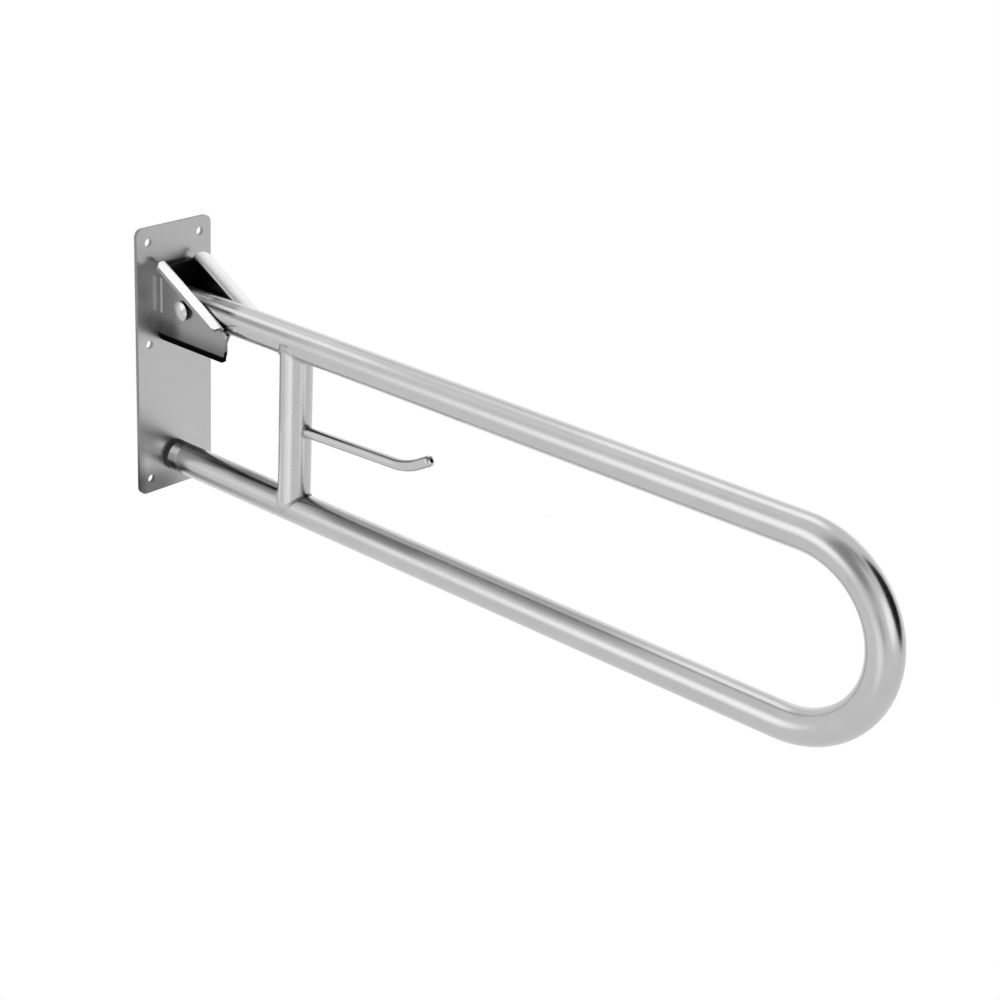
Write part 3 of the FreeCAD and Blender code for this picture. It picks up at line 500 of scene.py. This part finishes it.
def sheet_steel():
    """Satin sheet, ground upright, with darker cut edges and painted shade at its lower near
    corner and near flank.
    """
    material, tree, place, normal = new_tree("sheet_steel")
    _, near_edge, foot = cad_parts["wall_plate"].bound_box[0]
    spot = tree.parts(place)
    facing = tree.parts(normal)["X"]
    face = tree.ramp(tree.math("ABSOLUTE", facing), *PLATE_FACE)
    front = tree.ramp(facing, *PLATE_FRONT)
    across = tree.math("DIVIDE", tree.math("SUBTRACT", spot["Y"], near_edge), CORNER_WIDE)
    up = tree.math("DIVIDE", tree.math("SUBTRACT", spot["Z"], foot), CORNER_HIGH)
    corner = tree.fall(tree.length(across, up), CORNER_CORE, 1.0)
    flank = tree.times(tree.fall(spot["Y"], *FLANK_Y), tree.fall(spot["Z"], *FLANK_Z))
    tone = tree.mix(face, PLATE_EDGE_TONE, PLATE_TONE)
    # Painted shade at the lower near corner and on the near flank
    tone = tree.dim(tone, tree.times(corner, front), CORNER_SHADE_LEAST)
    tone = tree.dim(tone, tree.times(flank, front), FLANK_SHADE_LEAST)
    return finish_steel(material, tree, place, tone, PLATE_FINISH)


# Bracket: its pocket, painted in shade, begins at the cheeks' inner faces, with a fade in metres
POCKET_SHADE_TONE = 0.05
POCKET_FADE = (0.0001, 0.0007)
# Cheeks: lighter higher up along Z, with painted shade lower down and in the rear low corner
CHEEK_Z = (0.030, 0.050)
CHEEK_TONES = (0.144, 0.30)
REAR_X = (0.025, 0.040)
REAR_Z = (0.040, 0.056)
REAR_SHADE_LEAST = 0.53
# Flanges: painted highlights on what is high along Z and looks up; the far one is brighter
# towards its outer edge
FLANGE_Z = (0.045, 0.050)
FLANGE_FACING = (0.05, 0.15)
FLANGE_SIDES_Y = (-0.001, 0.001)
NEAR_FLANGE_HIGHLIGHT_TONE = 0.95
FAR_FLANGE_Y = (0.0180, 0.0280)
FAR_FLANGE_HIGHLIGHT_TONES = (0.46, 0.88)
# Near fold: a painted black reflection on what is low along Z, on the near side, and looks down
FOLD_REFLECTION_TONE = 0.003
FOLD_FACING = (-0.12, -0.02)
FOLD_Z = (0.040, 0.045)
FOLD_Y = (-0.011, -0.009)


def in_pocket(tree, spot):
    """1 between the bracket's cheeks."""
    start, end = POCKET_FADE
    return tree.fall(tree.math("ABSOLUTE", spot["Y"]), CHEEK_INSIDE + start, CHEEK_INSIDE + end)


def bracket_steel():
    """The bracket: darker cheeks with painted shade, a painted black reflection on the near fold,
    painted shade inside, painted highlights on the flange tops.
    """
    material, tree, place, normal = new_tree("bracket_steel")
    spot = tree.parts(place)
    facing_up = tree.parts(normal)["Z"]
    flange = tree.times(tree.ramp(facing_up, *FLANGE_FACING), tree.ramp(spot["Z"], *FLANGE_Z))
    far_flange_highlight = tree.ramp(spot["Y"], *FAR_FLANGE_Y, *FAR_FLANGE_HIGHLIGHT_TONES, "LINEAR")
    flange_highlight_tone = tree.mix(tree.ramp(spot["Y"], *FLANGE_SIDES_Y), NEAR_FLANGE_HIGHLIGHT_TONE, far_flange_highlight)
    fold = tree.times(tree.fall(facing_up, *FOLD_FACING), tree.fall(spot["Z"], *FOLD_Z),
                      tree.fall(spot["Y"], *FOLD_Y))
    # Painted shade on the cheeks, lower down and in the rear low corner
    rear = tree.times(tree.fall(spot["X"], *REAR_X), tree.fall(spot["Z"], *REAR_Z))
    tone = tree.dim(tree.ramp(spot["Z"], *CHEEK_Z, *CHEEK_TONES), rear, REAR_SHADE_LEAST)
    # Painted highlights on the flange tops
    tone = tree.mix(flange, tone, flange_highlight_tone)
    # Painted shade inside the pocket between the cheeks
    tone = tree.mix(in_pocket(tree, spot), tone, POCKET_SHADE_TONE)
    # Painted black reflection on the near fold
    tone = tree.mix(fold, tone, FOLD_REFLECTION_TONE)
    return finish_steel(material, tree, place, tone, BRACKET_FINISH,
                        tree.mix(fold, 1.0, 0.0), Specular_IOR_Level=0.0)


# Tie plate: the tone of its tab ends, which show in the cheeks' slots
TAB_TONE = 0.60


def tie_steel():
    """Tie plate: painted shade between the cheeks, bright at its tab ends."""
    material, tree, place, _ = new_tree("tie_steel")
    # Painted shade between the cheeks
    tone = tree.mix(in_pocket(tree, tree.parts(place)), TAB_TONE, POCKET_SHADE_TONE)
    return finish_steel(material, tree, place, tone, TIE_FINISH)


def matte(piece):
    """Rubber or plastic with a fine grain."""
    material, tree, place, _ = new_tree(piece.name)
    grain = tree.noise(place, piece.scale, MATTE_GRAIN_DETAIL, MATTE_GRAIN_ROUGHNESS)
    cloud = tree.noise(place, MATTE_CLOUD_SCALE)
    shade = tree.times(piece.tone, tree.swing(cloud, 1.0, MATTE_TONE_SWING))
    return finish_material(material, tree, tree.grey(shade), 0.0,
                           tree.swing(grain, piece.roughness, MATTE_ROUGH_SWING),
                           tree.bump(grain, piece.depth, MATTE_BUMP))


def dress(material, *names):
    """Give pieces one material."""
    for name in names:
        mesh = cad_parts[name].data
        mesh.materials.clear()
        mesh.materials.append(material)


add_camera()
add_floor()
set_room()
dress(sheet_steel(), "wall_plate")
dress(bracket_steel(), "hinge_bracket")
dress(tie_steel(), "tie_plate")
dress(weld_steel(), "bracket_welds", "post_welds", "rod_weld", "pivot_sleeve")
dress(tube_steel(), "rail_tube")
dress(post_steel(), "post_tube")
dress(plug_steel(), "end_plug")
dress(rod_steel(), "roll_rod")
dress(bolt_steel(), "pivot_bolt", "nut_washer", "disc_springs", "lock_nut", "bumper_stud")
for piece in MATTE_PIECES:
    dress(matte(piece), piece.node)

bpy.context.scene.view_settings.view_transform = "Standard"
